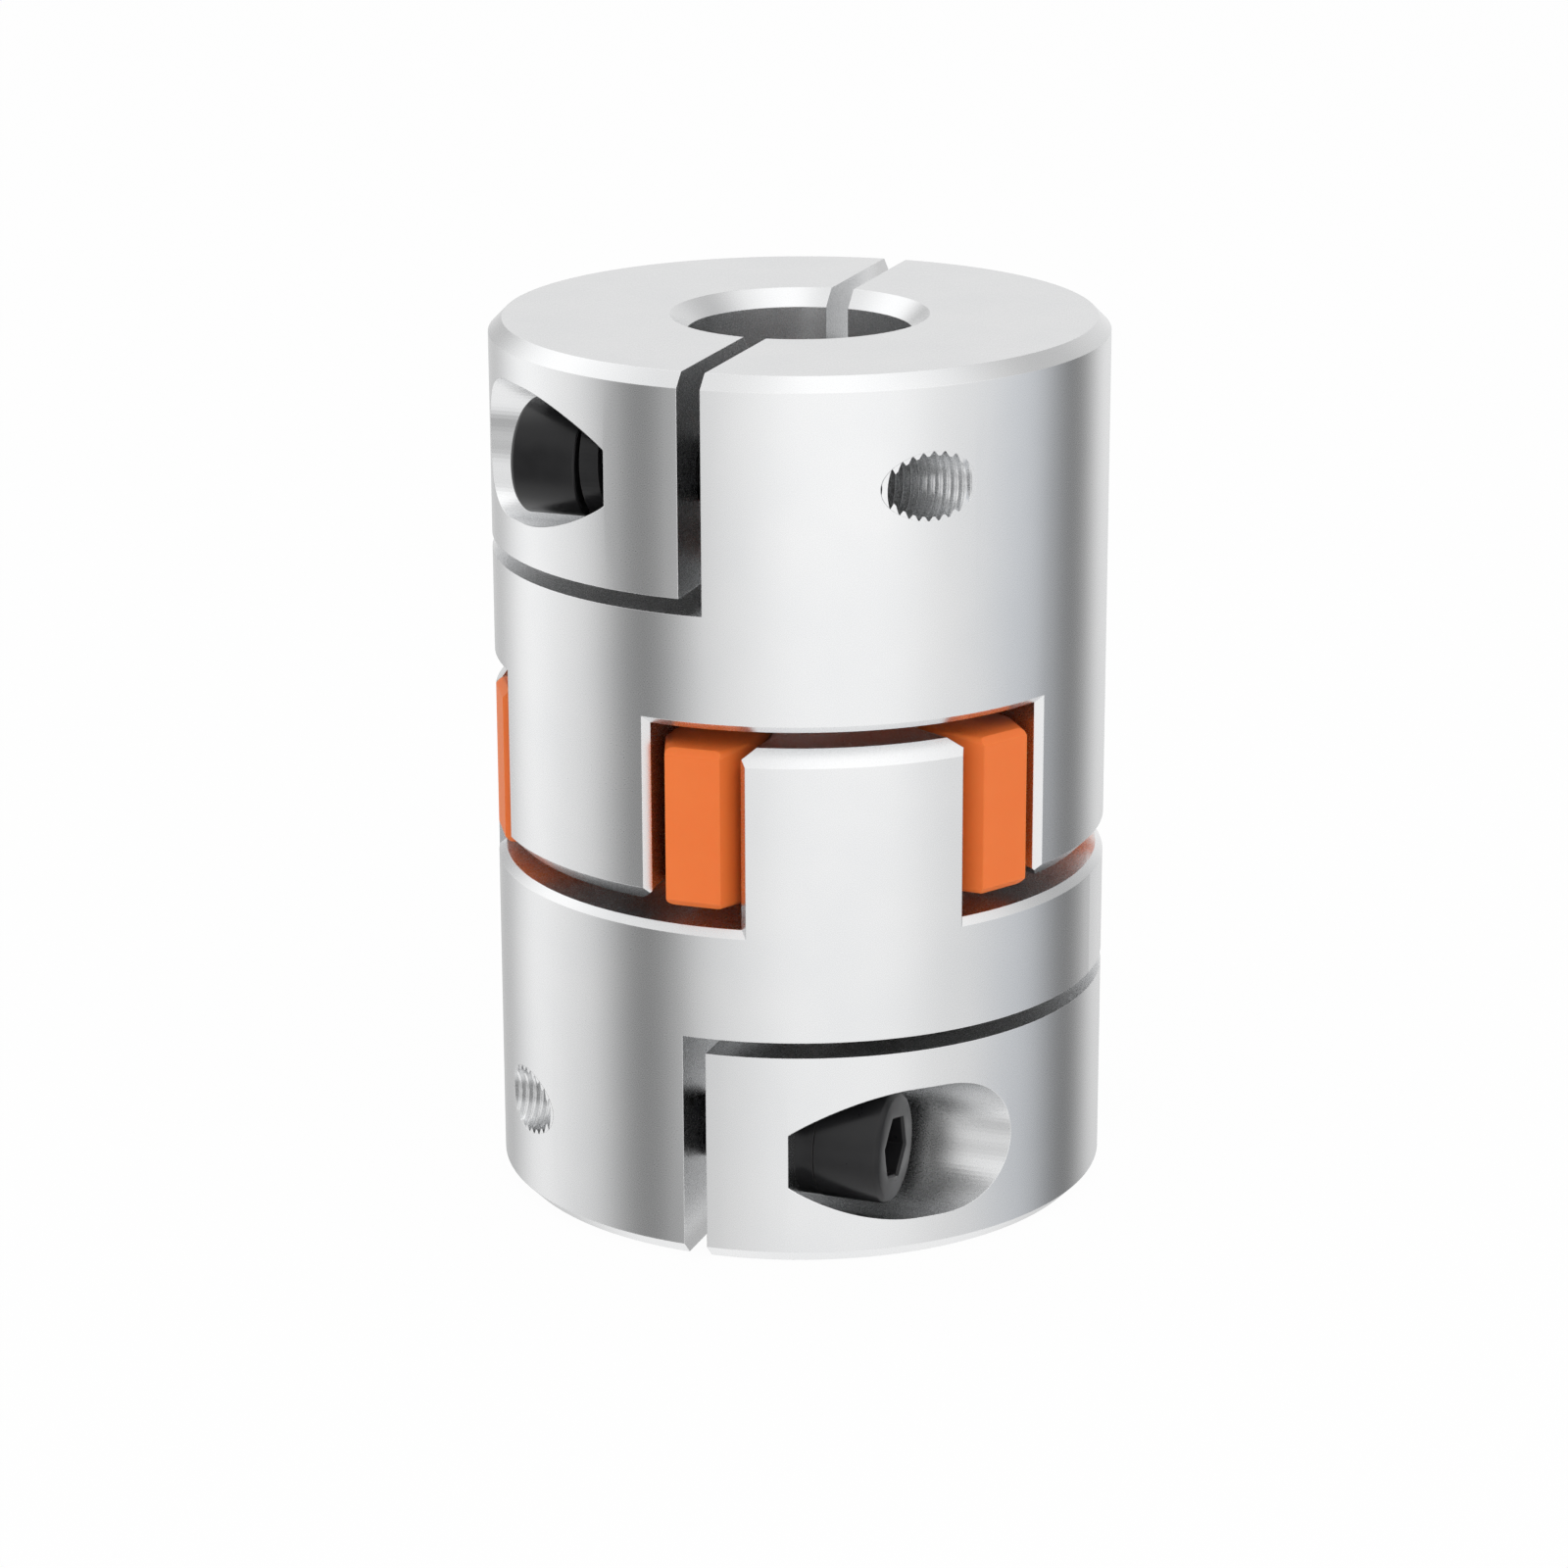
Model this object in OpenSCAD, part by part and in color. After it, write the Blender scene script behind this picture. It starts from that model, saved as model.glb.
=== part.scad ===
// Backlash-free jaw coupling with two split clamping hubs.
//
// Two equal aluminium hubs face each other with three jaws apiece. The six
// gaps between the jaws hold the legs of a soft spider. The shaft end of each
// hub is slit across its middle, and a second slit under one half frees that
// half as a clamp shell. Two socket screws pull the shell onto the shaft.
//
// The coupling stands on its lower end face. Z is the shaft axis, the slit
// runs along Y, and the screws run along X.

/* [Hubs] */
// Outer diameter of both hubs
outer_d = 55; // [53:0.5:58]
// Diameter of the shaft bore
bore_d = 20; // [16:0.5:22]
// Length of a hub from its end face to its inner face, without jaws
hub_length = 30.7; // [28:0.1:34]
// Distance between the inner faces of the two hubs
hub_gap = 17.8; // [16:0.1:22]
// Chamfer round the end face
face_chamfer = 1.2; // [0.4:0.1:2]
// Chamfer at the mouth of the bore
bore_chamfer = 1.5; // [0.4:0.1:2]
// Chamfer round the inner face, between the jaws
rim_chamfer = 0.65; // [0.3:0.05:1.2]
// Chamfer where the bore meets the inner face
inner_chamfer = 0.5; // [0.2:0.1:1]

/* [Jaws] */
// Gap from a jaw's tip to the inner face of the other hub
tip_gap = 1.6; // [1:0.1:2.5]
// Diameter of the space inside the jaws
jaw_inner_d = 32; // [31:0.5:34]
// Width of a leg pocket at its widest place
pocket_width = 8.7; // [8:0.1:11]
// Radius of the hollow flanks of the jaws
flank_radius = 24; // [18:1:40]
// Distance from the outer surface to the widest place of a leg pocket
flank_inset = 4.5; // [3:0.5:6]
// Chamfer on the outer edge of a jaw's tip
tip_chamfer = 1.4; // [0.5:0.1:2]
// Chamfer on the flank edges of a jaw's tip
flank_tip_chamfer = 1; // [0.4:0.1:1.6]
// Chamfer on the upright edges of a jaw
jaw_edge = 0.9; // [0.2:0.05:1.2]
// Chamfer on the inner edge of a jaw's tip
jaw_inner_chamfer = 0.8; // [0.3:0.1:1.5]

/* [Clamp] */
// Length of the clamping part, from the end face to the cross slit
clamp_length = 19.3; // [17:0.1:21]
// Width of the cross slit under the clamp shell
cross_slit = 1.4; // [1:0.1:2]
// Width of the slit along the axis
axial_slit = 2.1; // [1.5:0.1:3]
// Distance from the outer surface to each screw axis
screw_inset = 7.7; // [6.5:0.1:8.5]
// Distance from the end face to the screw axes
screw_height = 9.7; // [8.5:0.1:10.5]
// Width of the pocket for a screw head, and diameter of its round ends
head_pocket_d = 12.1; // [11:0.1:13]
// Length of that pocket across the screw
head_pocket_length = 13.9; // [13.2:0.1:14.4]
// Distance from the middle plane to the floor of a head pocket
pocket_floor = 8.2; // [7:0.1:9.5]
// Diameter of the clearance holes in the clamp shell
clearance_d = 6.6; // [6.4:0.1:7]

/* [Screws] */
// Thread diameter of the clamp screws
thread_d = 6; // [5:0.5:6]
// Length of a screw under its head
screw_length = 20; // [16:1:24]
// Diameter of a screw head
head_d = 10; // [9:0.1:10.4]
// Height of a screw head
head_height = 6; // [5:0.1:6.5]
// Chamfer round the top of a screw head
head_chamfer = 0.6; // [0.2:0.1:1]
// Width across flats of the key socket
key_size = 5; // [4:0.1:5.5]
// Depth of the key socket
key_depth = 3; // [2:0.1:3.5]
// Angle at which the key socket stands in the head
key_turn = 15; // [0:5:55]
// Gap all round between a screw and its tapped hole
thread_gap = 0.05; // [0.02:0.01:0.1]

/* [Lock washers] */
// Outer diameter of a spring lock washer
washer_d = 9.9; // [9:0.1:10.4]
// Inner diameter of a spring lock washer
washer_bore = 6.2; // [6.1:0.1:6.8]
// Thickness of a spring lock washer
washer_thickness = 1.7; // [1.2:0.1:2]
// Height of a washer that isn't drawn down
washer_free_height = 3.3; // [2.8:0.1:3.8]
// Width of the cut through a washer
washer_cut = 0.7; // [0.4:0.1:1.2]
// Angle by which the washer that isn't drawn down is turned
washer_turn = 30; // [0:10:350]

/* [Spider] */
// Gap between the spider's legs and the hubs, above and below, on average
leg_gap = 1.8; // [1:0.1:2.5]
// How far the spider sits below the middle of the gap
spider_drop = 0.1; // [0:0.05:0.3]
// How far the outer faces of the legs lie inside the outer surface
leg_inset = 0.15; // [0.15:0.05:1]
// Width of the flat outer face of a leg
leg_face = 5; // [4:0.1:5.4]
// Angle by which a leg's sides close in on its outer face
leg_taper = 20; // [15:1:40]
// Chamfer round the ends of a leg
leg_edge = 0.6; // [0.3:0.1:1.2]
// Gap between a leg and the jaw flanks on either side
leg_fit = 0.05; // [0.02:0.01:0.15]
// Diameter of the hole through the spider
spider_bore = 27; // [25:0.5:28]
// Gap between the spider's ring and the jaws
ring_gap = 0.5; // [0.3:0.1:1]
// Height of the spider's ring
ring_height = 12; // [9:0.5:13]
// Chamfer on the edges of the spider's ring
ring_chamfer = 0.6; // [0.2:0.1:0.8]

/* [Hidden] */

$fn = 96;
// How far a cutter reaches past the surface that it cuts
over = 1;
// Jaws on each hub, and legs on the spider
jaws = 3;
legs = 2 * jaws;
jaw_pitch = 360 / jaws;
leg_pitch = 360 / legs;
// Direction of the lower hub's first jaw, counted from the front (-Y) to +X
first_jaw = leg_pitch / 2;

outer_r = outer_d / 2;
bore_r = bore_d / 2;
jaw_inner_r = jaw_inner_d / 2;
screw_offset = outer_r - screw_inset;
length = 2 * hub_length + hub_gap;
jaw_length = hub_gap - tip_gap;
hub_top = hub_length + jaw_length;

// The flanks of a leg pocket are two arcs, centred either side of its middle
flank_y = outer_r - flank_inset;
flank_x = flank_radius - pocket_width / 2;
// Half the width of a leg pocket at distance y from the shaft axis
function pocket_half(y) = sqrt(pow(flank_radius, 2) - pow(y - flank_y, 2)) - flank_x;
// Where a jaw's flank meets the outer surface
corner_x = pocket_half(outer_r);
corner_y = sqrt(pow(outer_r, 2) - pow(corner_x, 2));

// A screw head's underside, drawn down on its washer and standing proud
head_seat = pocket_floor + washer_thickness;
proud_seat = pocket_floor + washer_free_height;

spider_thickness = hub_gap - 2 * leg_gap;
leg_reach = outer_r - leg_inset;
ring_r = jaw_inner_r - ring_gap;
spider_z = hub_length + hub_gap / 2 - spider_drop;

ALUMINIUM = [0.85, 0.86, 0.87];
ORANGE = [0.91, 0.46, 0.22];
BLACK = [0.14, 0.14, 0.15];

// Hubs

// Turned blank of a hub: bore, end face, and a sleeve from which jaws are cut
module turned_blank() {
    rotate_extrude()
        polygon([
            [bore_r + bore_chamfer, 0],
            [outer_r - face_chamfer, 0],
            [outer_r, face_chamfer],
            [outer_r, hub_top - tip_chamfer],
            [outer_r - tip_chamfer, hub_top],
            [jaw_inner_r + jaw_inner_chamfer, hub_top],
            [jaw_inner_r, hub_top - jaw_inner_chamfer],
            [jaw_inner_r, hub_length],
            [bore_r + inner_chamfer, hub_length],
            [bore_r, hub_length - inner_chamfer],
            [bore_r, bore_chamfer]
        ]);
}

// Space between two jaws that one leg fills, on the +Y side, up to hub_top
module leg_pocket(bottom) {
    height = hub_top - bottom;
    translate([0, 0, bottom]) {
        intersection_for (side = [-1, 1])
            translate([side * flank_x, flank_y, 0])
                cylinder(r = flank_radius, h = height + over);
        linear_extrude(height + over)
            polygon([
                [-corner_x, corner_y - jaw_edge],
                [corner_x, corner_y - jaw_edge],
                [corner_x + jaw_edge + over, corner_y + over],
                [-corner_x - jaw_edge - over, corner_y + over]
            ]);
    }
    // The same flanks, flared to break the edges of the jaws' tips
    translate([0, 0, hub_top - flank_tip_chamfer])
        intersection_for (side = [-1, 1])
            translate([side * flank_x, flank_y, 0])
                cylinder(
                    r1 = flank_radius,
                    r2 = flank_radius + flank_tip_chamfer + over,
                    h = flank_tip_chamfer + over
                );
}

// Turns what faces +Y to face the front, then by an angle towards +X
module facing(angle) {
    rotate(180 + angle) children();
}

// Solid stretch that each jaw keeps, between its two leg pockets
module jaw_sectors(bottom) {
    reach = 2 * outer_r;
    for (k = [0 : jaws - 1])
        facing(first_jaw + k * jaw_pitch)
            difference() {
                translate([0, 0, bottom])
                    linear_extrude(hub_top - bottom + over)
                        polygon([
                            [0, 0],
                            [reach * sin(leg_pitch / 2), reach * cos(leg_pitch / 2)],
                            [-reach * sin(leg_pitch / 2), reach * cos(leg_pitch / 2)]
                        ]);
                for (side = [-1, 1])
                    rotate(side * leg_pitch / 2)
                        leg_pocket(bottom - over);
            }
}

// What the mill takes away between the jaws, down to the chamfered inner face
module between_jaws() {
    difference() {
        union() {
            translate([0, 0, hub_length])
                cylinder(r = outer_r + over, h = jaw_length + over);
            rotate_extrude()
                polygon([
                    [outer_r - rim_chamfer - over, hub_length + over],
                    [outer_r + over, hub_length + over],
                    [outer_r + over, hub_length - rim_chamfer - over]
                ]);
        }
        jaw_sectors(hub_length - 2 * rim_chamfer - over);
    }
}

// Hub before it is slit, with the jaws where the lower hub has them
module whole_hub() {
    difference() {
        turned_blank();
        between_jaws();
    }
}

// Places its children on both screw axes, pointing towards the screw heads
module on_screw_axes() {
    for (side = [-1, 1])
        translate([0, side * screw_offset, screw_height])
            rotate([0, 90, 0])
                children();
}

// Room for a head, milled as a short slot across the screw
module head_pocket() {
    half_travel = (head_pocket_length - head_pocket_d) / 2;
    translate([0, 0, pocket_floor])
        hull()
            for (side = [-1, 1])
                translate([0, side * half_travel, 0])
                    cylinder(d = head_pocket_d, h = outer_r);
}

// Half of the hub on the heads' side, as far down as the cross slit reaches
module clamp_half(depth, from_x) {
    translate([from_x, -outer_r - over, -over])
        cube([outer_r - from_x + over, 2 * (outer_r + over), depth + over]);
}

// Hub with the room for the clamp shell cut away and its tapped holes
module split_hub() {
    color(ALUMINIUM)
        difference() {
            whole_hub();
            clamp_half(clamp_length + cross_slit, -axial_slit / 2);
            on_screw_axes()
                translate([0, 0, -outer_r - over])
                    cylinder(d = thread_d, h = outer_r + over);
        }
}

// Loose half of the clamp, with its clearance holes and head pockets
module clamp_shell() {
    color(ALUMINIUM)
        difference() {
            intersection() {
                turned_blank();
                clamp_half(clamp_length, axial_slit / 2);
            }
            on_screw_axes() {
                cylinder(d = clearance_d, h = outer_r);
                head_pocket();
            }
        }
}

// Turns a lower hub's piece over, about the line of the slit
module as_upper() {
    translate([0, 0, length])
        rotate([0, 180, 0])
            children();
}

// Screws and washers

// Socket-head screw along Z, with the underside of its head at z = 0
module socket_screw() {
    socket_r = key_size / sqrt(3);
    thread_r = thread_d / 2 - thread_gap;
    tip = thread_d / 8;
    color(BLACK)
        difference() {
            rotate_extrude()
                polygon([
                    [0, -screw_length],
                    [thread_r - tip, -screw_length],
                    [thread_r, tip - screw_length],
                    [thread_r, 0],
                    [head_d / 2, 0],
                    [head_d / 2, head_height - head_chamfer],
                    [head_d / 2 - head_chamfer, head_height],
                    [0, head_height]
                ]);
            translate([0, 0, head_height - key_depth])
                rotate(key_turn)
                    cylinder(r = socket_r, h = key_depth + over, $fn = 6);
            // Drill point at the bottom of the socket
            translate([0, 0, head_height - key_depth - key_size / 4])
                cylinder(d1 = 0, d2 = key_size, h = key_size / 4);
        }
}

// Spring lock washer drawn flat, standing on z = 0
module flat_washer() {
    color(BLACK)
        difference() {
            cylinder(d = washer_d, h = washer_thickness);
            translate([0, 0, -over])
                cylinder(d = washer_bore, h = washer_thickness + 2 * over);
            translate([0, -washer_cut / 2, -over])
                cube([washer_d, washer_cut, washer_thickness + 2 * over]);
        }
}

// Spring lock washer at its free height: one turn of a helix, standing on z = 0
module sprung_washer() {
    steps = 72;
    sweep = 360 - 2 * asin(washer_cut / washer_d);
    rise = washer_free_height - washer_thickness;
    section = [
        [washer_bore / 2, 0],
        [washer_d / 2, 0],
        [washer_d / 2, washer_thickness],
        [washer_bore / 2, washer_thickness]
    ];
    points = [
        for (k = [0 : steps])
            for (corner = section)
                let (angle = sweep * k / steps)
                    [
                        corner[0] * cos(angle),
                        corner[0] * sin(angle),
                        corner[1] + rise * k / steps
                    ]
    ];
    sides = [
        for (k = [0 : steps - 1])
            for (c = [0 : 3])
                let (d = (c + 1) % 4)
                    [4 * k + c, 4 * k + d, 4 * (k + 1) + d, 4 * (k + 1) + c]
    ];
    ends = [[3, 2, 1, 0], [for (c = [0 : 3]) 4 * steps + c]];
    color(BLACK)
        rotate(washer_turn)
            polyhedron(points, concat(sides, ends), convexity = 4);
}

// Places a screw or washer on one screw axis: side -1 is front, 1 is back
module at_screw(side, from_middle) {
    translate([from_middle, side * screw_offset, screw_height])
        rotate([0, 90, 0])
            children();
}

// Spider

// Solid bounded by one leg's two flanks, with broken edges at both ends
module leg_flanks() {
    radius = flank_radius - leg_fit;
    half = spider_thickness / 2;
    intersection_for (side = [-1, 1])
        translate([side * flank_x, flank_y, 0])
            rotate_extrude()
                polygon([
                    [0, -half],
                    [radius - leg_edge, -half],
                    [radius, leg_edge - half],
                    [radius, half - leg_edge],
                    [radius - leg_edge, half],
                    [0, half]
                ]);
}

// Side view of a leg, from inside the ring out to its flat outer face
module leg_side() {
    half = spider_thickness / 2;
    inner = (spider_bore / 2 + ring_r) / 2;
    rotate([90, 0, 90])
        linear_extrude(2 * outer_r, center = true)
            polygon([
                [inner, -half],
                [leg_reach - leg_edge, -half],
                [leg_reach, leg_edge - half],
                [leg_reach, half - leg_edge],
                [leg_reach - leg_edge, half],
                [inner, half]
            ]);
}

// View of a leg along the axis: its flat outer face and its tapered sides
module leg_plan() {
    face_half = leg_face / 2;
    root_half = face_half + leg_reach * tan(leg_taper);
    linear_extrude(spider_thickness + 2 * over, center = true)
        polygon([
            [-root_half, 0],
            [root_half, 0],
            [face_half, leg_reach],
            [-face_half, leg_reach]
        ]);
}

// Ring that joins the legs, round the space between the two shaft ends
module spider_ring() {
    half = ring_height / 2;
    hole_r = spider_bore / 2;
    rotate_extrude()
        polygon([
            [hole_r + ring_chamfer, -half],
            [ring_r - ring_chamfer, -half],
            [ring_r, ring_chamfer - half],
            [ring_r, half - ring_chamfer],
            [ring_r - ring_chamfer, half],
            [hole_r + ring_chamfer, half],
            [hole_r, half - ring_chamfer],
            [hole_r, ring_chamfer - half]
        ]);
}

module spider() {
    color(ORANGE)
        translate([0, 0, spider_z]) {
            spider_ring();
            for (k = [0 : legs - 1])
                facing(k * leg_pitch)
                    intersection() {
                        leg_flanks();
                        leg_side();
                        leg_plan();
                    }
        }
}

split_hub();  // lower_hub
clamp_shell();  // lower_clamp_shell
as_upper() split_hub();  // upper_hub
as_upper() clamp_shell();  // upper_clamp_shell
spider();
at_screw(-1, head_seat) socket_screw();  // screw_lower_front
at_screw(1, head_seat) socket_screw();  // screw_lower_back
as_upper() at_screw(-1, proud_seat) socket_screw();  // screw_upper_front
as_upper() at_screw(1, head_seat) socket_screw();  // screw_upper_back
at_screw(-1, pocket_floor) flat_washer();  // washer_lower_front
at_screw(1, pocket_floor) flat_washer();  // washer_lower_back
as_upper() at_screw(-1, pocket_floor) sprung_washer();  // washer_upper_front
as_upper() at_screw(1, pocket_floor) flat_washer();  // washer_upper_back
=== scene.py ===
# %% [markdown]
# A shaft coupling, dressed for its picture
#
# The coupling joins two shafts. It has two aluminium hubs with jaws, an orange
# spider between the jaws, and black socket screws that clamp each hub. Their
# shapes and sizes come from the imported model. What is added here is what a
# turner, a moulder and a plating shop would add: the finish of each surface
# and the fine threads. Lengths are in metres, as Blender's own units are.

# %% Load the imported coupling
import math
import bmesh
import bpy
import numpy as np
from mathutils import Matrix, Vector


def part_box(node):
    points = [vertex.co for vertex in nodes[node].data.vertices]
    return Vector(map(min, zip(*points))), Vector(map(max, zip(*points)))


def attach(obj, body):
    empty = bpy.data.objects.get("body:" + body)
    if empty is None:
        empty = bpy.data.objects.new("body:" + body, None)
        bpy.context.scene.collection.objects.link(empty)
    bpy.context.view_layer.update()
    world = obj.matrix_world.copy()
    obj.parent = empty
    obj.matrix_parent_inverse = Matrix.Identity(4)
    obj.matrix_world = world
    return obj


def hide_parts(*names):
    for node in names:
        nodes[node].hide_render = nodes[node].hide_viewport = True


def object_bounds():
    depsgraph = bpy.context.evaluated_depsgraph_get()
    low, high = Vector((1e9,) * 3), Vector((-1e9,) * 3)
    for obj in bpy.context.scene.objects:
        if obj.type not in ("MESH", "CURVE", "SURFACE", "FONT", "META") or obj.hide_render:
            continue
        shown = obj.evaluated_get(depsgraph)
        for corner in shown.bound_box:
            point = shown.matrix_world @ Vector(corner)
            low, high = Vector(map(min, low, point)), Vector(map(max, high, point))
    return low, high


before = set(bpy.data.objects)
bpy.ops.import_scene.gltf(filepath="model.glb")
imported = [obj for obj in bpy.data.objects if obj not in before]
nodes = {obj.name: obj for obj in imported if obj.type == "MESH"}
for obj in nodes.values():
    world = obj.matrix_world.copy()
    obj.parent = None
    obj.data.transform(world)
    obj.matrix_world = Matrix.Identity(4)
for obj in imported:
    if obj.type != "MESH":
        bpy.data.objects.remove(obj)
MM = 0.001
cad_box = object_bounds()
print("coupling loaded with", len(nodes), "pieces, height", round(cad_box[1].z / MM, 2), "mm")

# %% [markdown]
# Everything that is worked out below starts from a few sizes of the hubs and
# the screws. They are read from the boxes of the loaded pieces, so a change
# of the model moves the threads along with it.

# %% Sizes read from the pieces
outer_r = -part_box("lower_hub")[0][1]
length = cad_box[1].z


def screw_place(node):
    """A screw's axis in Y and Z, the side that its head faces in X, and how far out the head ends."""
    low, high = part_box(node)
    y, z = (low[1] + high[1]) / 2, (low[2] + high[2]) / 2
    side = 1 if high[0] > -low[0] else -1
    end = high[0] if side > 0 else low[0]
    return y, z, side, abs(end)


SCREWS = [n for n in sorted(nodes) if n.startswith("screw_")]
for name in SCREWS:
    y, z, side, end = screw_place(name)
    print(name, "at y", round(y / MM, 2), "z", round(z / MM, 2), "ends at x", round(side * end / MM, 2))

# %% [markdown]
# A surface here is a grid of points that numpy works out in one go: each row
# is one ring or one station, and neighbouring rows are joined by four-sided
# faces. One helper turns such a grid into a mesh, and it is used for every
# new piece, so that each piece's own function holds nothing but its shape.
# Where a ring has no radius, all its points lie in one place. They are merged
# there, so that the surface is closed.


# %% From a grid of points to a mesh
SAME_PLACE = 0.0001 * MM


def grid_faces(rows, columns, wrap):
    """Four-sided faces of a grid: point (i, j) joins (i, j+1), (i+1, j+1) and (i+1, j).

    With wrap, the last column joins the first.
    """
    here = np.arange(rows - 1)[:, None] * columns
    j = np.arange(columns if wrap else columns - 1)[None, :]
    k = (j + 1) % columns
    quads = np.stack([here + j, here + k, here + columns + k, here + columns + j], axis=-1)
    return quads.reshape(-1, 4)


def show(name, mesh, crease):
    """A new object that shows the mesh, smooth but for its edges sharper than the crease in degrees."""
    mesh.shade_smooth()
    mesh.set_sharp_from_angle(angle=math.radians(crease))
    obj = bpy.data.objects.new(name, mesh)
    bpy.context.scene.collection.objects.link(obj)
    return obj


def mesh_object(name, points, faces, crease=30):
    """A new object from an array of points and one of faces, with the points in one place merged."""
    mesh = bpy.data.meshes.new(name)
    mesh.from_pydata(points.reshape(-1, 3), [], faces.tolist())
    body = bmesh.new()
    body.from_mesh(mesh)
    bmesh.ops.remove_doubles(body, verts=body.verts, dist=SAME_PLACE)
    body.to_mesh(mesh)
    body.free()
    return show(name, mesh, crease)


print("a 3 by 4 grid gives", len(grid_faces(3, 4, True)), "faces when it is wrapped round")

# %% [markdown]
# Materials are built from nodes. A few small helpers keep that readable: one
# adds a node and sets its inputs by name, and the others add the nodes that
# come up again and again. All patterns read Object coordinates. Every piece
# sits at the origin unturned, so these are plain positions in the coupling.
# A noise's scale is then its number of waves to the metre. Its values crowd
# round the middle, so a pattern that should use its whole range spreads them.


# %% Helpers for node trees
NOISE_CROWD = (0.3, 0.7)
NOISE_REACH = (0.2, 0.8)


def add(tree, kind, inputs=None, **settings):
    """Adds a node of that kind, sets its settings, and sets or links each named input."""
    node = tree.nodes.new(kind)
    for key, value in settings.items():
        setattr(node, key, value)
    for key, value in (inputs or {}).items():
        if isinstance(value, bpy.types.NodeSocket):
            tree.links.new(value, node.inputs[key])
        else:
            node.inputs[key].default_value = value
    return node


def maths(tree, operation, *values):
    """One Math node; a value is a number or another node's output."""
    return add(tree, "ShaderNodeMath", dict(enumerate(values)), operation=operation).outputs[0]


def noise(tree, place, waves, detail=2.0):
    """Soft noise over a place, mostly between 0.3 and 0.7, with that many waves to the metre."""
    inputs = {"Vector": place, "Scale": waves, "Detail": detail}
    return add(tree, "ShaderNodeTexNoise", inputs).outputs["Fac"]


def spread(tree, value, old, new=(0.0, 1.0), **settings):
    """A value carried over from the old range to the new one, and held inside it."""
    limits = {"From Min": old[0], "From Max": old[1], "To Min": new[0], "To Max": new[1]}
    return add(tree, "ShaderNodeMapRange", {"Value": value, **limits}, **settings).outputs[0]


def blend(tree, factor, first, second):
    """Mix of two colours, each one a socket, a grey value or its red, green and blue."""
    node = add(tree, "ShaderNodeMix", {"Factor": factor}, data_type="RGBA")
    for key, value in (("A", first), ("B", second)):
        if isinstance(value, bpy.types.NodeSocket):
            tree.links.new(value, node.inputs[key])
        elif isinstance(value, float):
            node.inputs[key].default_value = (value, value, value, 1)
        else:
            node.inputs[key].default_value = (*value, 1)
    return node.outputs["Result"]


def bump(tree, height, strength, depth, normal):
    """Normals bent by a height that is at most that deep, on top of the normals that come in."""
    inputs = {"Height": height, "Strength": strength, "Distance": depth, "Normal": normal}
    return add(tree, "ShaderNodeBump", inputs).outputs[0]


def start_material(name):
    """A new material with its node tree, its Principled shader and Object coordinates."""
    material = bpy.data.materials.new(name)
    material.use_nodes = True
    tree = material.node_tree
    shader = tree.nodes["Principled BSDF"]
    place = add(tree, "ShaderNodeTexCoord").outputs["Object"]
    return material, tree, shader, place


def dress(obj, material):
    """Puts one material on every slot of an object."""
    obj.data.materials.clear()
    obj.data.materials.append(material)


def soft_edges(tree, radius):
    """Normals rounded over the edges by that radius, and a mask: 1 on the edges and 0 on the faces.

    The mask is worked out from how far the rounded normal leans away from the face's own.
    """
    rounded = add(tree, "ShaderNodeBevel", {"Radius": radius}, samples=4).outputs[0]
    flat = add(tree, "ShaderNodeNewGeometry").outputs["Normal"]
    match = add(tree, "ShaderNodeVectorMath", {0: rounded, 1: flat}, operation="DOT_PRODUCT")
    return rounded, spread(tree, match.outputs["Value"], (0.99, 0.85))


# %% [markdown]
# The hubs are turned and milled from aluminium and then lightly blasted, so
# they are satin: a metal with a soft, even blur. The look could come from one
# grey and one roughness, but then every face would look like plastic. Real
# satin metal has a fine grain, faint marks that the lathe left round the
# axis, and slow changes in gloss. Both patterns must stay far below what the
# eye picks out at arm's length, so the bumps are only a few micrometres deep.
# The lathe's marks are rings: they follow the height on the outer surface and
# the distance from the axis on the end faces. Handling rubs the edges first,
# so they are rounded a little and glossier than the faces. Their lighter colour
# is partly that wear and partly a painted highlight. The threads in the tapped
# holes are cut from the same metal, with keener edges.


# %% Satin aluminium
LATHE_WAVES = 5000.0
BLAST_WAVES = 9000.0
CLOUD_WAVES = 140.0
LATHE_DEPTH = 0.006 * MM
BLAST_DEPTH = 0.004 * MM
METAL_DULL = (0.855, 0.862, 0.87)
METAL_BRIGHT = (0.885, 0.888, 0.892)
# Colour of the edges: partly rubbed wear, partly a painted highlight
METAL_RUBBED_AND_HIGHLIGHT = 0.92
METAL_ROUGHNESS = (0.26, 0.28)
METAL_POLISH = 0.04
METAL_BUMP = 0.01


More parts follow.
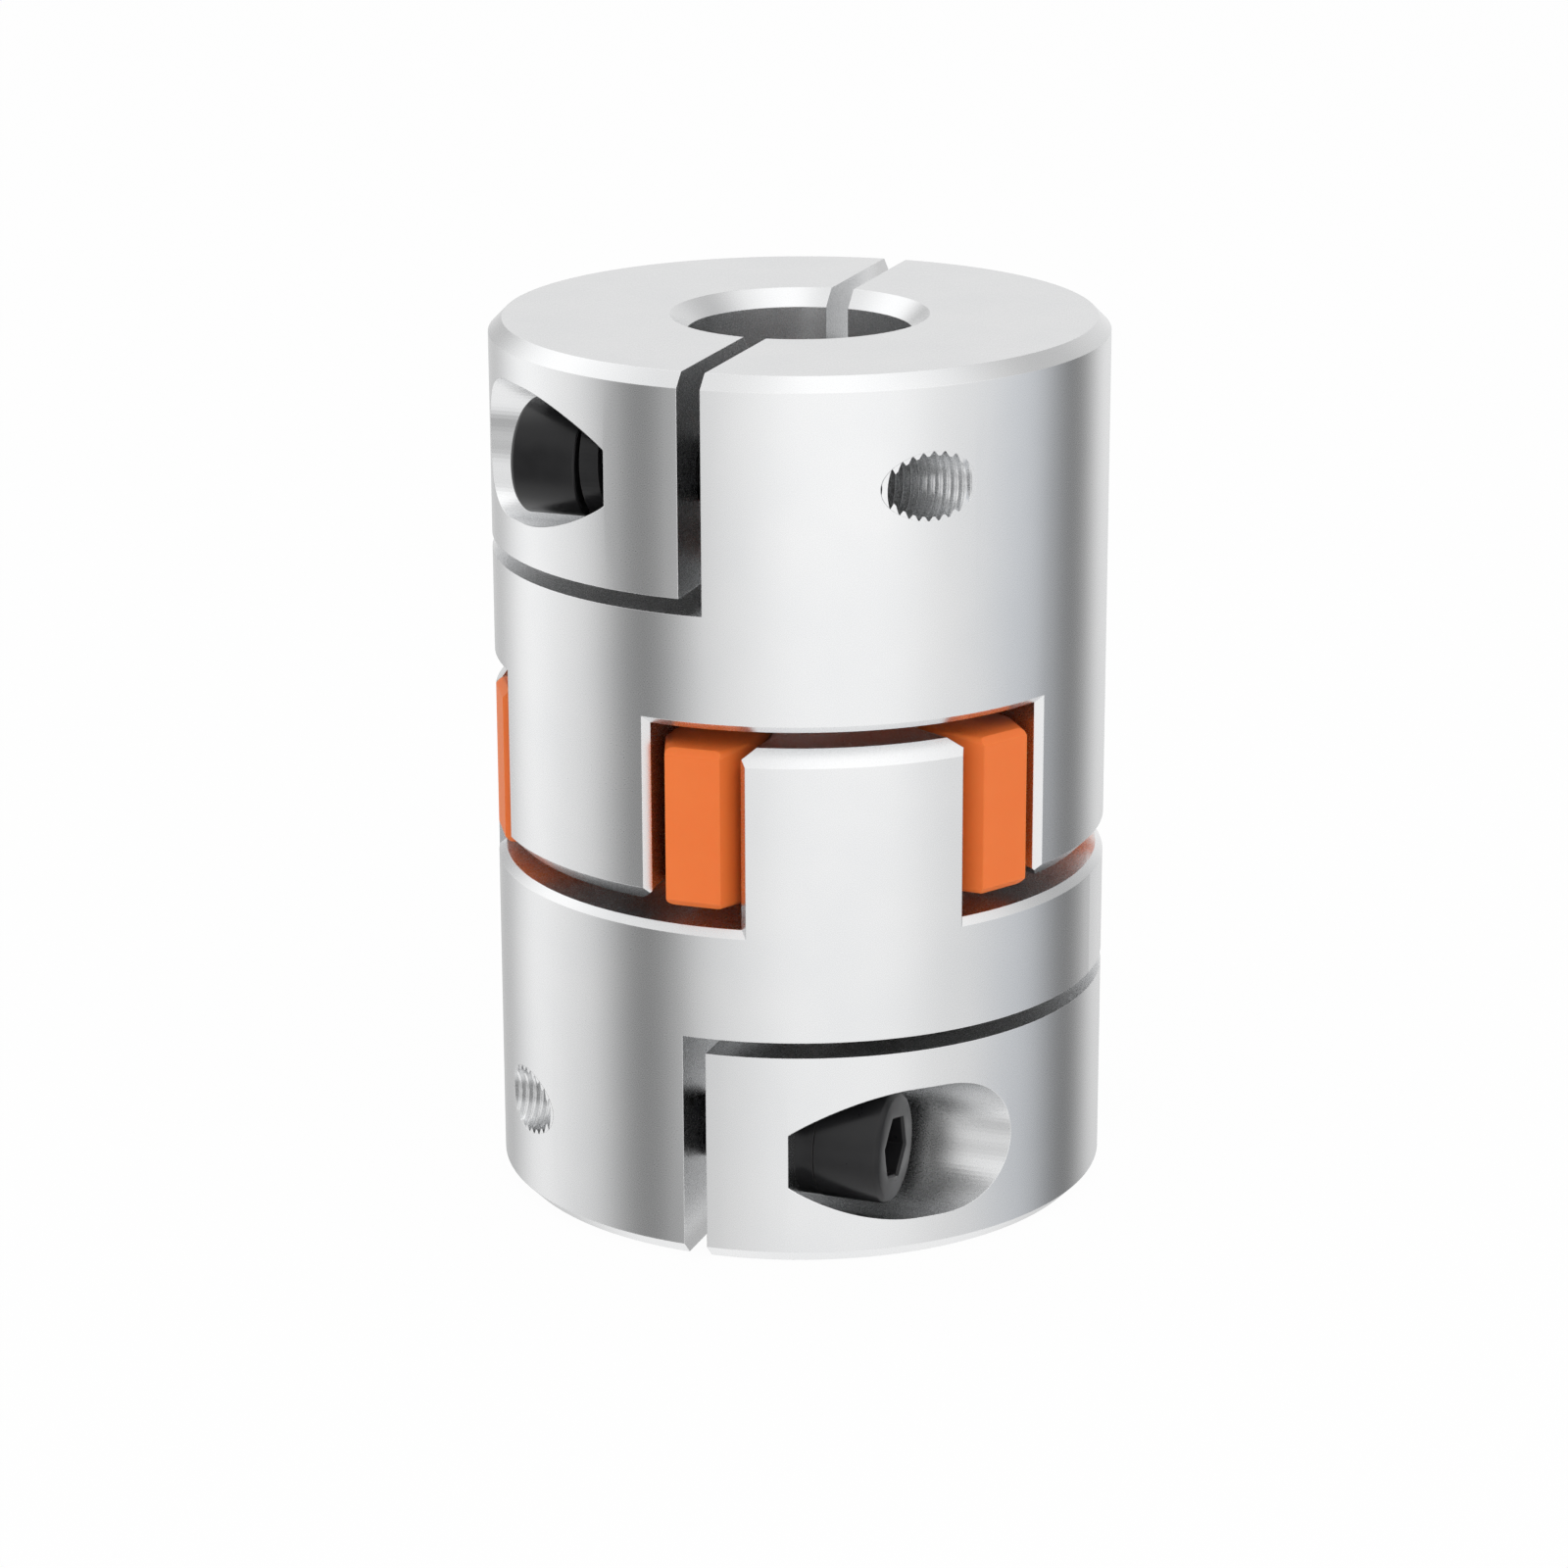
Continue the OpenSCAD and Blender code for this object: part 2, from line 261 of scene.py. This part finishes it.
def satin_aluminium(name, edge_radius):
    """Satin metal with lathe rings: the rings' noise reads the distance from the axis, and the height."""
    material, tree, shader, place = start_material(name)
    apart = add(tree, "ShaderNodeSeparateXYZ", {0: place})
    x_squared = maths(tree, "POWER", apart.outputs["X"], 2.0)
    y_squared = maths(tree, "POWER", apart.outputs["Y"], 2.0)
    from_axis = maths(tree, "SQRT", maths(tree, "ADD", x_squared, y_squared))
    rings = add(tree, "ShaderNodeCombineXYZ", {"X": from_axis, "Z": apart.outputs["Z"]}).outputs[0]
    marks = noise(tree, rings, LATHE_WAVES)
    grain = noise(tree, place, BLAST_WAVES)
    cloud = noise(tree, place, CLOUD_WAVES, 3.0)
    rounded, edge = soft_edges(tree, edge_radius)
    colour = blend(tree, spread(tree, cloud, NOISE_CROWD), METAL_DULL, METAL_BRIGHT)
    # Lighter edges: partly rubbed wear, partly a painted highlight
    tree.links.new(blend(tree, edge, colour, METAL_RUBBED_AND_HIGHLIGHT), shader.inputs["Base Color"])
    roughness = spread(tree, grain, NOISE_REACH, METAL_ROUGHNESS)
    polish = maths(tree, "MULTIPLY", edge, METAL_POLISH)
    tree.links.new(maths(tree, "SUBTRACT", roughness, polish), shader.inputs["Roughness"])
    turned = bump(tree, marks, METAL_BUMP, LATHE_DEPTH, rounded)
    tree.links.new(bump(tree, grain, METAL_BUMP, BLAST_DEPTH, turned), shader.inputs["Normal"])
    shader.inputs["Metallic"].default_value = 1.0
    return material


ALUMINIUM = satin_aluminium("satin_aluminium", 0.08 * MM)
CUT_ALUMINIUM = satin_aluminium("cut_aluminium", 0.02 * MM)
for name in nodes:
    if name.endswith("hub") or name.endswith("shell"):
        dress(nodes[name], ALUMINIUM)
        print("satin aluminium on", name)

# %% [markdown]
# The spider is cast from polyurethane, a rubber that is hard enough to keep
# its edges. It is a full orange that lets a little light in, with a soft
# sheen. The mould leaves a slight grain, and the colour drifts a little where
# the casting cooled at different speeds. Its edges are a little round, as
# moulded ones are, and they are where the skin is rubbed smoother. Painted
# shade makes the colour deeper in the corners, which the Ambient Occlusion node
# finds. Some of the light goes in and comes out a millimetre further on, which
# is what Subsurface is for.


# %% Orange polyurethane
CASTING_WAVES = 220.0
MOULD_WAVES = 6000.0
SKIN_DEPTH = 0.02 * MM
CORNER_REACH = 4 * MM
LIGHT_REACH = 1.2 * MM
ORANGE_DEEP = (0.88, 0.188, 0.036)
ORANGE_LIGHT = (0.92, 0.216, 0.046)
# Colour of the painted shade in the corners
ORANGE_PAINTED_SHADE = (0.22, 0.045, 0.012)
ORANGE_ROUGHNESS = (0.42, 0.52)
ORANGE_POLISH = 0.08


def orange_polyurethane():
    """Orange with painted shade in the corners: darker where little open air lies within the corners' reach.
    """
    material, tree, shader, place = start_material("orange_polyurethane")
    cloud = noise(tree, place, CASTING_WAVES, 3.0)
    grain = noise(tree, place, MOULD_WAVES)
    clean = blend(tree, cloud, ORANGE_DEEP, ORANGE_LIGHT)
    # Painted shade: the colour is darkened in the corners that the Ambient Occlusion node finds
    corners = add(tree, "ShaderNodeAmbientOcclusion", {"Distance": CORNER_REACH}, samples=8)
    unshaded_share = spread(tree, corners.outputs["AO"], (0.0, 0.22))
    tree.links.new(blend(tree, unshaded_share, ORANGE_PAINTED_SHADE, clean), shader.inputs["Base Color"])
    rounded, edge = soft_edges(tree, 0.15 * MM)
    roughness = spread(tree, grain, NOISE_REACH, ORANGE_ROUGHNESS)
    polish = maths(tree, "MULTIPLY", edge, ORANGE_POLISH)
    tree.links.new(maths(tree, "SUBTRACT", roughness, polish), shader.inputs["Roughness"])
    tree.links.new(bump(tree, grain, 0.15, SKIN_DEPTH, rounded), shader.inputs["Normal"])
    shader.inputs["Specular IOR Level"].default_value = 0.3
    shader.inputs["Subsurface Weight"].default_value = 0.3
    shader.inputs["Subsurface Scale"].default_value = LIGHT_REACH
    shader.inputs["Subsurface Radius"].default_value = (1.0, 0.4, 0.15)
    return material


ORANGE = orange_polyurethane()
print("the spider's material is", ORANGE.name)

# %% [markdown]
# The legs come out of the mould with soft edges above and below, where the
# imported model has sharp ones. A Bevel modifier would be the usual tool. It is
# no use here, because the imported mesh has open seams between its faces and
# steps of a twentieth of a millimetre, which would hold the bevel back. So the
# mesh is copied, its seams are closed, its flat faces are joined, and only the
# edges that are wanted are rounded.


# %% Spider with moulded edges
EDGE_ROUND = 0.7 * MM
LEG_REACH_FROM = 18.5 * MM
SEAM_WIDTH = 0.001 * MM
SAME_FACE = math.radians(0.5)
SQUARE_ENOUGH = math.radians(60)


def leg_edges(body):
    """The sharp edges of the legs' flat ends: above and below, outside the jaws' inner radius."""
    low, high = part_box("spider")
    middle, half = (low[2] + high[2]) / 2, (high[2] - low[2]) / 2
    found = []
    for edge in body.edges:
        centre = (edge.verts[0].co + edge.verts[1].co) / 2
        outside = math.hypot(centre.x, centre.y) > LEG_REACH_FROM
        at_end = abs(centre.z - middle) > half - 0.1 * MM
        if outside and at_end and edge.is_manifold and edge.calc_face_angle() > SQUARE_ENOUGH:
            found.append(edge)
    return found


def moulded_spider():
    """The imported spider, merged into one closed surface and rounded on its legs."""
    body = bmesh.new()
    body.from_mesh(nodes["spider"].data)
    bmesh.ops.remove_doubles(body, verts=body.verts, dist=SEAM_WIDTH)
    bmesh.ops.dissolve_limit(body, angle_limit=SAME_FACE, verts=body.verts, edges=body.edges)
    edges = leg_edges(body)
    round_off = {"offset": EDGE_ROUND, "segments": 3, "profile": 0.5, "clamp_overlap": False}
    bmesh.ops.bevel(body, geom=edges, affect="EDGES", **round_off)
    bmesh.ops.remove_doubles(body, verts=body.verts, dist=SAME_PLACE)
    print("spider with", len(edges), "edges rounded by", round(EDGE_ROUND / MM, 2), "mm")
    mesh = bpy.data.meshes.new("moulded_spider")
    body.to_mesh(mesh)
    body.free()
    return show("moulded_spider", mesh, 25)


spider = moulded_spider()
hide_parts("spider")
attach(spider, "root")
dress(spider, ORANGE)

# %% [markdown]
# Screws and washers are steel with a black oxide skin. Black oxide isn't a
# paint: the steel's fine grain stays, and oil in the skin gives it a dull
# shine. So the colour is nearly black, and the gloss comes from roughness
# that changes over the surface. The skin is thin, and on the edges it wears
# off first, so there the colour goes towards the grey of the steel.


# %% Black oxide steel
OXIDE_WAVES = 500.0
STEEL_WAVES = 7000.0
OXIDE_DEEP = (0.010, 0.010, 0.011)
OXIDE_THIN = (0.017, 0.017, 0.018)
STEEL_SHOWING = (0.09, 0.085, 0.08)
OXIDE_ROUGHNESS = (0.27, 0.35)
WORN_SHARE = 0.5


def black_oxide():
    """Near black with a gloss that drifts like the colour, and half worn through on the edges."""
    material, tree, shader, place = start_material("black_oxide")
    cloud = noise(tree, place, OXIDE_WAVES, 4.0)
    grain = noise(tree, place, STEEL_WAVES)
    colour = blend(tree, cloud, OXIDE_DEEP, OXIDE_THIN)
    rounded, edge = soft_edges(tree, 0.1 * MM)
    worn = blend(tree, maths(tree, "MULTIPLY", edge, WORN_SHARE), colour, STEEL_SHOWING)
    tree.links.new(worn, shader.inputs["Base Color"])
    roughness = spread(tree, cloud, NOISE_CROWD, OXIDE_ROUGHNESS)
    tree.links.new(roughness, shader.inputs["Roughness"])
    tree.links.new(bump(tree, grain, 0.1, SKIN_DEPTH, rounded), shader.inputs["Normal"])
    shader.inputs["Specular IOR Level"].default_value = 0.3
    return material


BLACK = black_oxide()
for name in nodes:
    if name.startswith("washer_"):
        dress(nodes[name], BLACK)
        print("black oxide on", name)

# %% [markdown]
# Each screw has a cylinder head with a hexagon socket, and a rolled thread that
# runs from the head to the tip. Head and socket have the sizes of a standard
# socket screw, and the thread's pitch was counted on the picture. The depths
# of the thread are those of a metric one, as shares of its pitch.

# %% Sizes of the screw
HEAD_R = 5 * MM
HEAD_HEIGHT = 6 * MM
THREAD_R = 3 * MM
PITCH = 0.7 * MM
SCREW_LENGTH = 20 * MM
SOCKET_SIZE = 5 * MM
SOCKET_DEPTH = 3 * MM
SOCKET_TURN = math.radians(15)
HEAD_CHAMFER = 0.35 * MM
EASE = 0.12 * MM
SHANK_R = THREAD_R - 0.05 * MM
THREAD_DEPTH = 0.61 * PITCH
RUN_OUT = 0.75 * PITCH
ROWS_PER_TURN = 16
COLUMNS = 72
print("each screw has", round(SCREW_LENGTH / PITCH, 1), "turns of thread")

# %% [markdown]
# A boolean could cut the socket and the thread, but one grid does it all, with
# even faces. Each row of the grid is a ring round the screw's axis. In the
# socket the rings are hexagons, on the head they are circles, and in the
# thread the radius rises and falls along the helix. The thread fades in under
# the head and fades out at the tip, as a rolled one does.


# %% Screw as one grid
def ridge(phase, crest=0.125, root=0.25):
    """Height of a thread, from 0 in the root to 1 on the crest, at a phase along one pitch.

    It is 1 less the distance from the crest, as a share of the flank's width, held in 0 to 1.
    """
    away = np.abs((phase % 1.0) - 0.5)
    slope = 0.5 - crest / 2 - root / 2
    return np.clip(1 - (away - crest / 2) / slope, 0, 1)


def hexagon(angle):
    """Radius of the socket's hexagon: half its width, over the cosine of the angle from the nearest flat."""
    turn = (angle - SOCKET_TURN + math.pi / 6) % (math.pi / 3) - math.pi / 6
    return SOCKET_SIZE / 2 / np.cos(turn)


def screw_grid():
    """Rings of a socket screw along +X, with the head's underside at x = 0.

    The rings run from the middle of the socket over the head to the tip. In the thread, a
    point's radius is the shank's, less the thread's depth times one minus its height there.
    """
    angle = np.arange(COLUMNS) * 2 * math.pi / COLUMNS
    one = np.ones(COLUMNS)
    socket = hexagon(angle)
    bottom = HEAD_HEIGHT - SOCKET_DEPTH
    rings = [
        (bottom - SOCKET_SIZE / 4, 0 * one),
        (bottom, SOCKET_SIZE / 2 * one),
        (bottom, socket),
        (HEAD_HEIGHT - 2 * EASE, socket),
        (HEAD_HEIGHT, socket + 1.6 * EASE),
        (HEAD_HEIGHT, (HEAD_R - HEAD_CHAMFER - EASE) * one),
        (HEAD_HEIGHT - EASE / 2, (HEAD_R - HEAD_CHAMFER) * one),
        (HEAD_HEIGHT - HEAD_CHAMFER, (HEAD_R - EASE / 2) * one),
        (HEAD_HEIGHT - HEAD_CHAMFER - EASE, HEAD_R * one),
        (EASE, HEAD_R * one),
        (0, (HEAD_R - EASE) * one),
        (0, SHANK_R * one),
    ]
    x = np.array([r[0] for r in rings])[:, None] + 0 * one
    radius = np.array([r[1] for r in rings])
    rows = int(SCREW_LENGTH / PITCH * ROWS_PER_TURN)
    along = np.linspace(-0.5 * PITCH, -SCREW_LENGTH, rows)[:, None]
    height = ridge(along / PITCH - angle[None, :] / (2 * math.pi))
    run_in = np.clip(-along / PITCH - 0.5, 0, 1)
    run_out = np.clip((SCREW_LENGTH + along) / RUN_OUT, 0, 1)
    thread = SHANK_R - THREAD_DEPTH * np.maximum((1 - height) * run_in, 1 - run_out)
    x = np.concatenate([x, along + 0 * angle, [-SCREW_LENGTH + 0 * angle]])
    radius = np.concatenate([radius, thread, [0 * angle]])
    return np.stack([x, radius * np.sin(angle), radius * np.cos(angle)], axis=-1)


def threaded_screw(node):
    """One screw in the place of the model's screw, half a turn round Z where that one faces -X."""
    y, z, side, end = screw_place(node)
    points = screw_grid()
    points[..., 0] = side * (points[..., 0] + end - HEAD_HEIGHT)
    points[..., 1] = side * points[..., 1] + y
    points[..., 2] += z
    rows, columns = points.shape[:2]
    obj = mesh_object(node + "_threaded", points, grid_faces(rows, columns, True))
    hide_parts(node)
    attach(obj, "root")
    dress(obj, BLACK)
    print(obj.name, "has", len(obj.data.vertices), "points")


for name in SCREWS:
    threaded_screw(name)

# %% [markdown]
# Each screw ends inside a tapped hole that is open at the far side. There the
# hole's thread shows, and it makes the hole's edge a row of small teeth where
# it meets the round surface. A bump map could draw the thread on the wall, but
# the hole's edge would stay smooth. So the thread is a real ridge on the wall:
# a narrow section carried along a helix.

# %% Ridge in a tapped hole
NUT_DEPTH = 0.54 * PITCH
NUT_CREST = 0.25 * PITCH
NUT_BASE = 0.875 * PITCH
STEPS_PER_TURN = 48


def helix_ridge(start, stop):
    """Ridge on the wall of a hole along +X: a trapezium carried along a helix.

    Its middle lies at x = start + pitch * turns. Each corner keeps its distance from the middle
    and its radius, so that y = radius * sine and z = radius * cosine of the angle turned.
    """
    turns = (stop - start) / PITCH
    angle = np.linspace(0, turns * 2 * math.pi, int(turns * STEPS_PER_TURN))
    middle = start + PITCH * angle / (2 * math.pi)
    offset = np.array([-NUT_BASE / 2, -NUT_CREST / 2, NUT_CREST / 2, NUT_BASE / 2])
    radius = np.array([THREAD_R, THREAD_R - NUT_DEPTH, THREAD_R - NUT_DEPTH, THREAD_R])
    x = middle[:, None] + offset
    return np.stack([x, radius * np.sin(angle)[:, None], radius * np.cos(angle)[:, None]], axis=-1)


print("the ridge stands", round(NUT_DEPTH / MM, 2), "mm proud of the hole's wall")

# %% [markdown]
# A drill comes out of a round surface on a slant, and so does the thread. The
# ridge is made a little too long, and a boolean keeps only what lies inside a
# cylinder of the hub's own width, which trims it flush with the surface.


# %% Trimmed at the outer surface
TRIMMER_SIDES = 720


def hub_cylinder():
    """A cylinder as wide as the hubs: the same circle 1 mm below the coupling and 1 mm above it."""
    angle = np.arange(TRIMMER_SIDES) * 2 * math.pi / TRIMMER_SIDES
    circle = np.stack([outer_r * np.cos(angle), outer_r * np.sin(angle), 0 * angle], axis=-1)
    points = np.concatenate([circle - [0, 0, MM], circle + [0, 0, length + MM]])
    bottom, top = np.arange(TRIMMER_SIDES)[::-1], np.arange(TRIMMER_SIDES) + TRIMMER_SIDES
    faces = grid_faces(2, TRIMMER_SIDES, True).tolist() + [bottom.tolist(), top.tolist()]
    mesh = bpy.data.meshes.new("trimmer")
    mesh.from_pydata(points, [], faces)
    obj = bpy.data.objects.new("trimmer", mesh)
    bpy.context.scene.collection.objects.link(obj)
    return obj


def trimmed(points, faces, trimmer):
    """The mesh of those points and faces, kept only where it lies inside the trimmer."""
    whole = mesh_object("whole", points, faces)
    trim = whole.modifiers.new("trim", "BOOLEAN")
    trim.operation = "INTERSECT"
    trim.solver = "EXACT"
    trim.object = trimmer
    evaluated = whole.evaluated_get(bpy.context.evaluated_depsgraph_get())
    mesh = bpy.data.meshes.new_from_object(evaluated)
    bpy.data.objects.remove(whole)
    return mesh


hub_trimmer = hub_cylinder()
print("trimmer is", round(2 * outer_r / MM, 2), "mm wide")

# %% [markdown]
# Each of the four holes gets its thread from the tip of its screw outwards.
# The screw hides the rest of the hole, so no thread is made there.

# %% Threads of the tapped holes
FROM_TIP = 0.1 * MM


def hole_thread(node):
    """The thread from a screw's tip to the outer surface, on the side away from the screw's head."""
    y, z, side, end = screw_place(node)
    tip = SCREW_LENGTH + HEAD_HEIGHT - end
    start = tip + NUT_BASE / 2 + FROM_TIP
    stop = math.sqrt(outer_r**2 - (abs(y) - THREAD_R) ** 2) + PITCH
    points = helix_ridge(start, stop)
    rows, corners = points.shape[:2]
    points[..., 0] *= -side
    points[..., 1] = -side * points[..., 1] + y
    points[..., 2] += z
    first = np.arange(corners)
    ends = np.stack([first[::-1], first + corners * (rows - 1)])
    faces = np.concatenate([grid_faces(rows, corners, True), ends])
    mesh = trimmed(points, faces, hub_trimmer)
    obj = show(node.replace("screw", "hole_thread"), mesh, 25)
    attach(obj, "root")
    dress(obj, CUT_ALUMINIUM)
    print(obj.name, "has", len(obj.data.polygons), "faces")


for name in SCREWS:
    hole_thread(name)
bpy.data.objects.remove(hub_trimmer)

# %% [markdown]
# The coupling stands on a plain white floor. The floor is a matt white, and
# for the camera most of its colour is a steady white of strength 1, so the
# paper looks white and the soft shadow stays. The metal doesn't see the
# floor. It sees the white surround go on below the horizon, as it would on a
# glass table in a light tent.


# %% Floor
PAPER_COLOUR = (0.9, 0.9, 0.9, 1)
PAPER_WHITE = 0.96
FLOOR_HALF = 3.0


def seen_directly(tree):
    """1 for rays from the camera, from glossy surfaces and through glass, and 0 for all others."""
    path = add(tree, "ShaderNodeLightPath").outputs
    bright = maths(tree, "MAXIMUM", path["Is Camera Ray"], path["Is Glossy Ray"])
    return maths(tree, "MAXIMUM", bright, path["Is Transmission Ray"])


def white_floor():
    """Matt white that is mixed with a steady white wherever it is seen directly."""
    material = bpy.data.materials.new("white_floor")
    material.use_nodes = True
    tree = material.node_tree
    tree.nodes.remove(tree.nodes["Principled BSDF"])
    matt = add(tree, "ShaderNodeBsdfDiffuse", {"Color": PAPER_COLOUR})
    white = add(tree, "ShaderNodeEmission", {"Color": (1, 1, 1, 1), "Strength": 1.0})
    share = maths(tree, "MULTIPLY", seen_directly(tree), PAPER_WHITE)
    mixed = add(tree, "ShaderNodeMixShader", {0: share, 1: matt.outputs[0], 2: white.outputs[0]})
    tree.links.new(mixed.outputs[0], tree.nodes["Material Output"].inputs["Surface"])
    return material


corners = np.array([[-1, -1, 0], [1, -1, 0], [1, 1, 0], [-1, 1, 0]]) * FLOOR_HALF
floor = mesh_object("floor", corners, np.array([[0, 1, 2, 3]]))
floor.visible_glossy = False
dress(floor, white_floor())
print("floor is", 2 * FLOOR_HALF, "m wide")

# %% [markdown]
# A bright metal shows its surroundings, so the surroundings are its colour.
# A photographer puts a coupling in a white tent and hangs grey and dark cards
# in it, because a plain white tent would make the metal look flat. The world
# here is that tent. It is white for the camera. For the metal it is sewn from
# twelve equal panels, set out like the hours of a clock, and each seam has one
# of six tones. A round surface shows what lies at twice the angle that it is
# turned away from the camera, so the panels at the sides make its grey bands.
# The upright surfaces show the tent's skirt, and the chamfers show its roof.

# %% Cloths and cards of the tent
CAMERA_AZIMUTH = math.radians(19.79)
LIT = (1.2, 1.2, 1.2)
WHITE = (1.0, 1.0, 1.0)
SHADED = (0.8, 0.8, 0.8)
COOL = (0.6, 0.62, 0.65)
GREY = (0.5, 0.5, 0.5)
DARK = (0.15, 0.15, 0.15)
# From straight behind the coupling, round by the camera's left, its front and its right
SKIRT = [SHADED, GREY, WHITE, SHADED, DARK, SHADED, WHITE, WHITE, SHADED, COOL, DARK, SHADED]
ROOF = [WHITE, LIT, LIT, SHADED, SHADED, WHITE, LIT, LIT, LIT, WHITE, GREY, SHADED]
print("the tent has", len(SKIRT), "panels in its skirt and", len(ROOF), "in its roof")

# %% [markdown]
# A picture of a studio could be wrapped round the scene. Here the world's shader
# turns a ray's direction into an angle round the coupling, and a colour ramp
# holds the panels' tones along it, so that each can be read and changed.
# The chamfer at the foot shows the white table. Matt surfaces get an even
# light, so that their colours stay true.


# %% World
MATT_LIGHT = 0.8
TABLE_WHITE = 0.95


def panels(tree, share, tones):
    """Tones at even steps round the horizon, eased between; a share of 0 and of 1 is straight behind."""
    ramp = add(tree, "ShaderNodeValToRGB", {"Fac": share})
    stops = ramp.color_ramp.elements
    ramp.color_ramp.interpolation = "EASE"
    for number, tone in enumerate(tones[1:], start=1):
        stops.new(number / len(tones)).color = (*tone, 1)
    stops[0].color = (*tones[0], 1)
    stops[-1].color = (*tones[0], 1)
    return ramp.outputs["Color"]


def tent_colour(tree, way):
    """What metal sees of the tent in a direction: its skirt, the roof above it and the table below."""
    apart = add(tree, "ShaderNodeSeparateXYZ", {0: way})
    z = apart.outputs["Z"]
    forward = maths(tree, "MULTIPLY", apart.outputs["Y"], -1.0)
    azimuth = maths(tree, "SUBTRACT", maths(tree, "ARCTAN2", apart.outputs["X"], forward), CAMERA_AZIMUTH)
    turns = maths(tree, "ADD", maths(tree, "DIVIDE", azimuth, 2 * math.pi), 0.5)
    share = maths(tree, "WRAP", turns, 1.0, 0.0)
    # The skirt gets brighter from the table up to the horizon, and duller again above it
    rising = spread(tree, z, (-0.6, -0.1), (0.7, 1.2))
    fading = spread(tree, z, (-0.1, 0.15), (1.0, 0.8))
    gain = maths(tree, "MULTIPLY", rising, fading)
    cloths = panels(tree, share, SKIRT)
    skirt = add(tree, "ShaderNodeVectorMath", {0: cloths, "Scale": gain}, operation="SCALE")
    in_roof = spread(tree, z, (0.2, 0.6), interpolation_type="SMOOTHSTEP")
    on_table = spread(tree, z, (-0.45, -0.8), interpolation_type="SMOOTHSTEP")
    tent = blend(tree, in_roof, skirt.outputs[0], panels(tree, share, ROOF))
    return blend(tree, on_table, tent, TABLE_WHITE)


def light_tent():
    """World that is white for the camera, the tent for glossy rays and an even grey for matt surfaces."""
    world = bpy.data.worlds.new("light_tent")
    bpy.context.scene.world = world
    world.use_nodes = True
    tree = world.node_tree
    back = tree.nodes["Background"]
    way = add(tree, "ShaderNodeTexCoord").outputs["Generated"]
    path = add(tree, "ShaderNodeLightPath").outputs
    metal = blend(tree, path["Is Glossy Ray"], MATT_LIGHT, tent_colour(tree, way))
    white = maths(tree, "MAXIMUM", path["Is Camera Ray"], path["Is Transmission Ray"])
    tree.links.new(blend(tree, white, metal, 1.0), back.inputs["Color"])
    back.inputs["Strength"].default_value = 1.0


light_tent()
print("world is", bpy.context.scene.world.name)

# %% [markdown]
# The tent lights the matt pieces from all sides. Two weak lamps give them some
# shape: a soft key over the camera's right shoulder, and a weaker one from the
# left. They are wide and near, so that the shadow on the floor is soft. The
# metal has its light from the tent, so it doesn't show the lamps.


# %% Lamps
def lamp(name, right, up, distance, size, power):
    """A square lamp that looks at the coupling's middle, by its degrees right of the camera and up."""
    azimuth = CAMERA_AZIMUTH + math.radians(right)
    elevation = math.radians(up)
    level = math.cos(elevation)
    way = Vector((math.sin(azimuth) * level, -math.cos(azimuth) * level, math.sin(elevation)))
    data = bpy.data.lights.new(name, "AREA")
    data.shape = "SQUARE"
    data.size = size
    data.energy = power
    obj = bpy.data.objects.new(name, data)
    obj.location = Vector((0, 0, length / 2)) + way * distance
    obj.rotation_euler = way.to_track_quat("Z", "Y").to_euler()
    obj.visible_glossy = False
    bpy.context.scene.collection.objects.link(obj)
    print(name, "gives", power, "W from", distance, "m")


lamp("key", right=25, up=50, distance=0.6, size=0.5, power=0.7)
lamp("fill", right=-50, up=30, distance=0.7, size=0.5, power=0.35)

# %% [markdown]
# The camera was fitted to the outlines of the coupling in the picture. It
# stands 404 mm from the shaft axis and 161 mm up, and looks down by 17.3
# degrees. The picture's sides converge as they do here, so the lens follows
# from the same fit.

# %% Camera
PICTURE = 1600
SENSOR = 36
FOCAL_PIXELS = 4746.4
CAMERA_DISTANCE = 404.3 * MM
CAMERA_HEIGHT = 161.4 * MM
LOOK_DOWN = math.radians(17.28)
LOOK_ASIDE = math.radians(-0.215)
ROLL = math.radians(0.189)


def photo_camera():
    """Camera at its distance and height, turned round the shaft axis by its azimuth.

    Before that it looks along +Y, and is turned aside, down and about its own line of view.
    """
    data = bpy.data.cameras.new("camera")
    data.sensor_width = SENSOR
    data.lens = FOCAL_PIXELS / PICTURE * SENSOR
    data.clip_start = 10 * MM
    obj = bpy.data.objects.new("camera", data)
    place = Matrix.Translation((0, -CAMERA_DISTANCE, CAMERA_HEIGHT))
    aside = Matrix.Rotation(-LOOK_ASIDE, 4, "Z")
    down = Matrix.Rotation(math.pi / 2 - LOOK_DOWN, 4, "X")
    roll = Matrix.Rotation(-ROLL, 4, "Z")
    obj.matrix_world = Matrix.Rotation(CAMERA_AZIMUTH, 4, "Z") @ place @ aside @ down @ roll
    bpy.context.scene.collection.objects.link(obj)
    bpy.context.scene.camera = obj
    print("lens", round(data.lens, 1), "mm")


photo_camera()
bpy.context.scene.view_settings.view_transform = "Standard"
